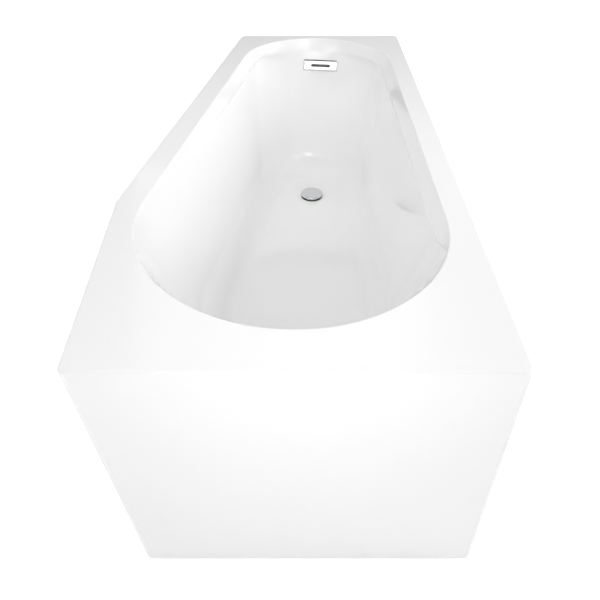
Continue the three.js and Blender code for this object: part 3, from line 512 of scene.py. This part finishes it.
def in_object_axes(points, heights):
    """Points across and along the basin, with their heights, in the object's axes."""
    across = points[:, 0] + AXIS_OFFSET
    along = points[:, 1]
    cos, sin = math.cos(BASIN_TURN), math.sin(BASIN_TURN)
    x = DRAIN.x + across * cos + along * sin
    y = DRAIN.y - across * sin + along * cos
    return np.column_stack([x, y, heights])


def basin_rows():
    """Rows of points down the inside of the basin, from above the rim to the floor."""
    edge = outline(-RIM_EDGE_RADIUS, -RIM_EDGE_RADIUS, -RIM_EDGE_RADIUS)
    tops = (RIM_HEIGHT + CUT_ABOVE_RIM, RIM_HEIGHT)
    rows = [in_object_axes(edge, np.full(OUTLINE_POINTS, top)) for top in tops]
    for step in range(1, ROLL_STEPS):
        angle = ROLL_END * step / ROLL_STEPS
        inset = RIM_EDGE_RADIUS * (math.sin(angle) - 1)
        depth = RIM_EDGE_RADIUS * (1 - math.cos(angle))
        points = outline(inset, inset, inset)
        rows.append(in_object_axes(points, np.full(OUTLINE_POINTS, RIM_HEIGHT - depth)))
    band = Wall(band_side, ROLL_DEPTH, BAND_DEPTH)
    banded = Wall(wall_side, ROLL_DEPTH, BASIN_DEPTH)
    plain = Wall(plain_side, ROLL_DEPTH, BASIN_DEPTH)
    across, along = plain.at(np.full(OUTLINE_POINTS, ROLL_DEPTH)).T
    notch = smooth_step(along, NOTCH_END, NOTCH_START)
    faded = ROLL_DEPTH + FADED_BAND_DEPTH
    crease = faded + (BAND_DEPTH - faded) * notch
    share = np.where(across < 0, smooth_step(along, *LEFT_FADE), notch)[:, None]

    def row(upper, depth):
        points = upper.at(depth) * share + plain.at(depth) * (1 - share)
        return in_object_axes(points, RIM_HEIGHT - depth)

    for part in BAND_PARTS:
        rows.append(row(band, ROLL_DEPTH + (crease - ROLL_DEPTH) * part))
    first = crease + LEDGE_DROP
    for part in WALL_PARTS:
        rows.append(row(banded, first + (BASIN_DEPTH - FILLET_TOP - first) * part))
    for step in range(FILLET_STEPS, -1, -1):
        above = FILLET_TOP * (step / FILLET_STEPS) ** 2
        rows.append(row(banded, np.full(OUTLINE_POINTS, BASIN_DEPTH - above)))
    return rows


def outer_rows(rows):
    """The rows of the basin's outside: the inside moved out along its own normals."""
    grid = np.array(rows)
    around = np.roll(grid, -1, axis=1) - np.roll(grid, 1, axis=1)
    down = np.gradient(grid, axis=0)
    outward = np.cross(down, around)
    outward /= np.linalg.norm(outward, axis=2, keepdims=True)
    return grid + outward * BASIN_WALL


def lathe(name, profile, segments=ROUND_SEGMENTS):
    """A turned piece about the Z axis, from an anticlockwise profile of [radius, height] points."""
    points, rings = [], []
    for radius, height in profile:
        if radius < ON_AXIS:
            rings.append([len(points)] * segments)
            points.append((0, 0, height))
            continue
        rings.append(range(len(points), len(points) + segments))
        for i in range(segments):
            angle = 2 * math.pi * i / segments
            points.append((radius * math.cos(angle), radius * math.sin(angle), height))
    faces = []
    for row, ring in enumerate(rings):
        if row == len(rings) - 1 and profile[0][0] < ON_AXIS:
            break
        above = rings[(row + 1) % len(rings)]
        for i in range(segments):
            after = (i + 1) % segments
            corners = (ring[i], ring[after], above[after], above[i])
            faces.append(tuple(dict.fromkeys(corners)))
    return new_object(name, points, [face for face in faces if len(face) > 2])


def cylinder(name, radius, bottom, top, segments=ROUND_SEGMENTS):
    """A closed upright cylinder, used as a cutting tool."""
    return lathe(name, [(0, bottom), (radius, bottom), (radius, top), (0, top)], segments)


def slab(name, width, height, corner, near, far, steps=8):
    """A rectangle with round corners, standing in the XZ plane from y = near to y = far."""
    outline_points = []
    for turn, (sx, sz) in enumerate([(1, 1), (-1, 1), (-1, -1), (1, -1)]):
        for step in range(steps + 1):
            angle = math.pi / 2 * (turn + step / steps)
            x = sx * (width / 2 - corner) + corner * math.cos(angle)
            z = sz * (height / 2 - corner) + corner * math.sin(angle)
            outline_points.append((x, z))
    return loft(name, [[(x, y, z) for x, z in outline_points] for y in (far, near)])


def placed(thing, matrix):
    """Moves a mesh object's points by a matrix."""
    thing.data.transform(matrix)
    return thing


def at_drain():
    """The matrix that takes the drain's axes to the object's."""
    return Matrix.Translation((DRAIN.x, DRAIN.y, RIM_HEIGHT - BASIN_DEPTH))


def at_overflow():
    """The matrix from the overflow's axes to the object's."""
    along = NARROW_TIP - narrow_inset(OVERFLOW_DEPTH)
    slope = (NARROW_RUN - CREASE_INSET) / (BASIN_DEPTH - BAND_DEPTH)
    place = Matrix.Translation((DRAIN.x, DRAIN.y, RIM_HEIGHT - OVERFLOW_DEPTH))
    turn = Matrix.Rotation(-BASIN_TURN, 4, "Z")
    lean = Matrix.Rotation(-math.atan(slope), 4, "X")
    return place @ turn @ Matrix.Translation((OVERFLOW_ACROSS, along, 0)) @ lean


def make_basin():
    """The basin and its rim, cut and joined as the CAD part is."""
    rows = basin_rows()
    basin = make_rim_plate()
    rows_of_roll = ROLL_STEPS + 1
    outside = outer_rows(rows[rows_of_roll:])
    cut_or_join(basin, loft("outside", outside[::-1].tolist()), "UNION")
    boss = placed(cylinder("boss", BOSS_RADIUS, BOSS_BOTTOM, BOSS_TOP), at_drain())
    cut_or_join(basin, boss, "UNION")
    cut_or_join(basin, loft("hollow", [row.tolist() for row in rows[::-1]]), "DIFFERENCE")
    recess = cylinder("recess", RECESS_RADIUS, -RECESS_DEPTH, CUT_BEYOND)
    cut_or_join(basin, placed(recess, at_drain()), "DIFFERENCE")
    hole = cylinder("hole", DRAIN_HOLE_RADIUS, BOSS_BOTTOM - CUT_BEYOND, CUT_BEYOND)
    cut_or_join(basin, placed(hole, at_drain()), "DIFFERENCE")
    opening = slab("opening", *OVERFLOW_OPENING, OVERFLOW_OPENING_CORNER, *OVERFLOW_CUT)
    cut_or_join(basin, placed(opening, at_overflow()), "DIFFERENCE")
    return basin


def dress(thing, body, slot, node):
    """Finishes a piece: smooth shading, its slot's material, a parent on its body, and its CAD node
    hidden.
    """
    smooth_shading(thing)
    thing.data.materials.clear()
    thing.data.materials.append(MATERIALS[slot])
    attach(thing, body)
    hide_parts(node)
    return thing


# ---- Materials ----


def new_material(name, color, roughness, metallic=0.0, ior=1.5):
    """A principled material, its node tree and its shader node."""
    material = bpy.data.materials.new(name)
    material.use_nodes = True
    shader = material.node_tree.nodes["Principled BSDF"]
    shader.inputs["Base Color"].default_value = (*color, 1)
    shader.inputs["Roughness"].default_value = roughness
    shader.inputs["Metallic"].default_value = metallic
    shader.inputs["IOR"].default_value = ior
    return material, material.node_tree, shader


def noise(tree, scale, detail=3.0, stretch=(1, 1, 1)):
    """A noise texture in the object's own coordinates, in metres."""
    place = tree.nodes.new("ShaderNodeTexCoord")
    mapping = tree.nodes.new("ShaderNodeMapping")
    mapping.inputs["Scale"].default_value = stretch
    texture = tree.nodes.new("ShaderNodeTexNoise")
    texture.inputs["Scale"].default_value = scale
    texture.inputs["Detail"].default_value = detail
    tree.links.new(place.outputs["Object"], mapping.inputs["Vector"])
    tree.links.new(mapping.outputs["Vector"], texture.inputs["Vector"])
    return texture.outputs["Fac"]


def vary(tree, value, target, low, high):
    """Drives a shader input between two values by a texture."""
    spread = tree.nodes.new("ShaderNodeMapRange")
    spread.inputs["From Min"].default_value = NOISE_RANGE[0]
    spread.inputs["From Max"].default_value = NOISE_RANGE[1]
    spread.inputs["To Min"].default_value = low
    spread.inputs["To Max"].default_value = high
    tree.links.new(value, spread.inputs["Value"])
    tree.links.new(spread.outputs["Result"], target)


def tint(tree, value, target, dark, light):
    """Mixes a shader colour between two tints by a texture."""
    ramp = tree.nodes.new("ShaderNodeValToRGB")
    for stop, position, color in zip(ramp.color_ramp.elements, TINT_RANGE, (dark, light)):
        stop.position = position
        stop.color = (*color, 1)
    tree.links.new(value, ramp.inputs["Fac"])
    tree.links.new(ramp.outputs["Color"], target)


def bump(tree, value, shader, strength, distance):
    """Fine relief on a shader's normal."""
    relief = tree.nodes.new("ShaderNodeBump")
    relief.inputs["Strength"].default_value = strength
    relief.inputs["Distance"].default_value = distance
    tree.links.new(value, relief.inputs["Height"])
    tree.links.new(relief.outputs["Normal"], shader.inputs["Normal"])


def make_acrylic():
    """Polished white sanitary acrylic, very slightly wavy."""
    material, tree, shader = new_material("acrylic", (0.935, 0.935, 0.935), 0.07, ior=1.49)
    vary(tree, noise(tree, scale=6), shader.inputs["Roughness"], 0.05, 0.09)
    bump(tree, noise(tree, scale=9, detail=1), shader, 0.05, 1 * MM)
    return material


def make_chrome():
    """Polished chromium plate."""
    material, tree, shader = new_material("chrome", (0.67, 0.68, 0.69), 0.06, metallic=1)
    vary(tree, noise(tree, scale=60), shader.inputs["Roughness"], 0.04, 0.09)
    return material


def make_steel():
    """Zinc-plated steel with a drawn grain."""
    material, tree, shader = new_material("zinc_steel", (0.62, 0.63, 0.64), 0.38, metallic=1)
    grain = noise(tree, scale=90, detail=4, stretch=(1, 12, 12))
    vary(tree, grain, shader.inputs["Roughness"], 0.28, 0.46)
    color = shader.inputs["Base Color"]
    tint(tree, noise(tree, scale=35), color, (0.55, 0.56, 0.58), (0.68, 0.69, 0.69))
    bump(tree, grain, shader, 0.15, 0.1 * MM)
    return material


def make_brass():
    material, tree, shader = new_material("brass", (0.72, 0.6, 0.35), 0.3, metallic=1)
    vary(tree, noise(tree, scale=120), shader.inputs["Roughness"], 0.22, 0.38)
    return material


def make_rubber():
    material, tree, shader = new_material("rubber", (0.03, 0.03, 0.03), 0.75)
    vary(tree, noise(tree, scale=200), shader.inputs["Roughness"], 0.65, 0.85)
    bump(tree, noise(tree, scale=900, detail=1), shader, 0.2, 0.05 * MM)
    return material


def make_plastic(name, color):
    """Satin moulded plastic."""
    material, tree, shader = new_material(name, color, 0.42)
    vary(tree, noise(tree, scale=80), shader.inputs["Roughness"], 0.36, 0.5)
    bump(tree, noise(tree, scale=700, detail=2), shader, 0.12, 0.05 * MM)
    return material


def make_particle_board():
    """Raw particle board: pale and dark chips pressed together."""
    material, tree, shader = new_material("particle_board", (0.62, 0.47, 0.3), 0.85)
    chips = tree.nodes.new("ShaderNodeTexVoronoi")
    chips.inputs["Scale"].default_value = 260
    place = tree.nodes.new("ShaderNodeTexCoord")
    tree.links.new(place.outputs["Object"], chips.inputs["Vector"])
    color = shader.inputs["Base Color"]
    tint(tree, chips.outputs["Color"], color, (0.45, 0.31, 0.17), (0.74, 0.59, 0.4))
    bump(tree, chips.outputs["Distance"], shader, 0.4, 0.4 * MM)
    return material


# ---- Fittings ----


def millimetres(profile):
    """A profile in metres, from one in millimetres."""
    return [(radius * MM, height * MM) for radius, height in profile]


def make_cap():
    """The push plug's cap: a low dome with a full round shoulder, hollow below."""
    radius, height, wide, high = CAP_SHOULDER
    turns = np.linspace(0, math.pi / 2, CAP_STEPS)
    shoulder = [(radius + wide * math.cos(turn), height + high * math.sin(turn)) for turn in turns]
    edge, top, fall = CAP_DOME
    dome = [(r, top - (r / fall) ** 2) for r in np.linspace(edge, 0, CAP_STEPS)]
    profile = CAP_UNDERSIDE + CAP_LIP + shoulder + dome
    return placed(lathe("plug_cap_dome", millimetres(profile)), at_drain())


def make_flange():
    """The drain's chrome flange: a dished ring with a rounded lip, its shank and its spider."""
    profile = millimetres(FLANGE_SHANK + FLANGE_DISH + FLANGE_THROAT)
    flange = lathe("drain_flange_dish", profile)
    length, height, thickness = SPIDER_ARM
    for turn in (0, math.pi / 2):
        arm = slab("arm", length, height, SPIDER_CORNER, -thickness / 2, thickness / 2)
        lowered = Matrix.Translation((0, 0, SPIDER_HEIGHT))
        cut_or_join(flange, placed(arm, Matrix.Rotation(turn, 4, "Z") @ lowered), "UNION")
    low, high = SPIDER_HEIGHT - height / 2, SPIDER_HEIGHT + height / 2
    hub = cylinder("hub", SPIDER_HUB_RADIUS, low, high, SMALL_ROUND_SEGMENTS)
    cut_or_join(flange, hub, "UNION")
    low, high = low - SPIDER_BORE_BEYOND, high + SPIDER_BORE_BEYOND
    bore = cylinder("bore", SPIDER_BORE_RADIUS, low, high, SMALL_ROUND_SEGMENTS)
    cut_or_join(flange, bore, "DIFFERENCE")
    return placed(flange, at_drain())


def plate_ring(inset, y, steps=6):
    """The overflow cover's outline, moved inwards, at one depth."""
    width, height = (side - 2 * inset for side in PLATE_SIZE)
    radius = max(PLATE_CORNER - inset, PLATE_EASE)
    points = []
    for turn, (sx, sz) in enumerate([(1, 1), (-1, 1), (-1, -1), (1, -1)]):
        for step in range(steps + 1):
            angle = math.pi / 2 * (turn + step / steps)
            x = sx * (width / 2 - radius) + radius * math.cos(angle)
            points.append((x, y, sz * (height / 2 - radius) + radius * math.sin(angle)))
    return points


def make_overflow_plate():
    """The cover: a shallow box, open at the back, with a chamfered edge and one slot."""
    across, back = PLATE_CHAMFER
    rings = [
        plate_ring(0, PLATE_BACK),
        plate_ring(0, PLATE_FRONT + back + PLATE_EASE),
        plate_ring(PLATE_EASE / 3, PLATE_FRONT + back),
        plate_ring(across - PLATE_EASE, PLATE_FRONT + PLATE_EASE * 2 / 3),
        plate_ring(across, PLATE_FRONT),
    ]
    plate = loft("overflow_plate_cover", rings)
    pocket = slab("pocket", *POCKET_SIZE, POCKET_CORNER, PLATE_FRONT + PLATE_SKIN, CUT_BEYOND)
    cut_or_join(plate, pocket, "DIFFERENCE")
    mouth_front = PLATE_FRONT + POCKET_MOUTH_DEPTH
    mouth = slab("mouth", *POCKET_MOUTH, POCKET_CORNER, mouth_front, CUT_BEYOND)
    cut_or_join(plate, mouth, "DIFFERENCE")
    slot = slab("slot", *SLOT_SIZE, SLOT_CORNER, SLOT_CUT_FRONT, CUT_BEYOND)
    cut_or_join(plate, slot, "DIFFERENCE")
    return placed(plate, at_overflow())


def squash_spring(spring):
    """Gives the push plug's spring a mesh of its own, left unchanged."""
    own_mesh(spring)


# ---- Studio ----


def make_floor():
    """A white floor with a glow of its own, which grows far behind, where less light falls."""
    signs = [(-1, -1), (1, -1), (1, 1), (-1, 1)]
    corners = [(x * FLOOR_HALF, y * FLOOR_HALF, 0) for x, y in signs]
    floor = new_object("studio_floor", corners, [(0, 1, 2, 3)])
    material, tree, shader = new_material("studio_white", (0.95, 0.95, 0.95), 0.9)
    shader.inputs["Emission Color"].default_value = (1, 1, 1, 1)
    place = tree.nodes.new("ShaderNodeTexCoord")
    apart = tree.nodes.new("ShaderNodeSeparateXYZ")
    glow = tree.nodes.new("ShaderNodeMapRange")
    glow.interpolation_type = "SMOOTHSTEP"
    for name, value in FLOOR_GLOW.items():
        glow.inputs[name].default_value = value
    tree.links.new(place.outputs["Object"], apart.inputs["Vector"])
    tree.links.new(apart.outputs["Y"], glow.inputs["Value"])
    tree.links.new(glow.outputs["Result"], shader.inputs["Emission Strength"])
    floor.data.materials.append(material)
    return floor


def add_softbox(name, place, aim, size, power, spread=180):
    """A rectangular area light that faces a point, with a spread in degrees."""
    light = bpy.data.lights.new(name, "AREA")
    light.spread = math.radians(spread)
    light.shape = "RECTANGLE"
    light.size, light.size_y = size
    light.energy = power
    lamp = bpy.data.objects.new(name, light)
    lamp.location = place
    lamp.rotation_euler = (Vector(aim) - Vector(place)).to_track_quat("-Z", "Y").to_euler()
    bpy.context.scene.collection.objects.link(lamp)
    return lamp


def keep_off(lamps, thing):
    """Keeps lamps from lighting one object, as a studio's flags do."""
    spared = bpy.data.collections.new("spared")
    spared.objects.link(thing)
    spared.collection_objects[0].light_linking.link_state = "EXCLUDE"
    for lamp in lamps:
        lamp.light_linking.receiver_collection = spared


def add_sky():
    """A dim, even sky."""
    world = bpy.data.worlds.new("studio")
    world.use_nodes = True
    background = world.node_tree.nodes["Background"]
    background.inputs["Color"].default_value = (1, 1, 1, 1)
    background.inputs["Strength"].default_value = SKY_STRENGTH
    bpy.context.scene.world = world


def add_camera():
    """The camera: above the wide end, looking down along the tub."""
    camera = bpy.data.cameras.new("camera")
    camera.sensor_width = CAMERA_SENSOR
    camera.lens = CAMERA_LENS
    camera.shift_x, camera.shift_y = CAMERA_SHIFT
    holder = bpy.data.objects.new("camera", camera)
    holder.location = CAMERA_PLACE
    holder.rotation_euler = (CAMERA_TILT, 0, 0)
    bpy.context.scene.collection.objects.link(holder)
    bpy.context.scene.camera = holder


# ---- Assembly ----

MATERIALS = {
    "acrylic": make_acrylic(),
    "chrome_trim": make_chrome(),
    "steel": make_steel(),
    "brass_works": make_brass(),
    "rubber_seals": make_rubber(),
    "white_pipe": make_plastic("white_pipe", (0.82, 0.82, 0.8)),
    "dark_plastic": make_plastic("dark_plastic", (0.045, 0.045, 0.05)),
    "board": make_particle_board(),
}

for part in frame["record"]["subparts"]:
    node = frame["nodes"][part["node"]]
    node.data.materials.clear()
    node.data.materials.append(MATERIALS[part["material_slot"]])

dress(make_basin(), "tub", "acrylic", "inner_basin")
skirt = dress(make_skirt(), "tub", "acrylic", "outer_skirt")
dress(make_cap(), "plug", "chrome_trim", "plug_cap")
dress(make_flange(), "tub", "chrome_trim", "drain_flange")
dress(make_overflow_plate(), "tub", "chrome_trim", "overflow_plate")
squash_spring(frame["nodes"]["plug_spring"])

make_floor()
add_sky()
lamps = {softbox[0]: add_softbox(*softbox) for softbox in SOFTBOXES}
keep_off([lamps["right"]], skirt)
add_camera()
bpy.context.scene.view_settings.view_transform = "Standard"
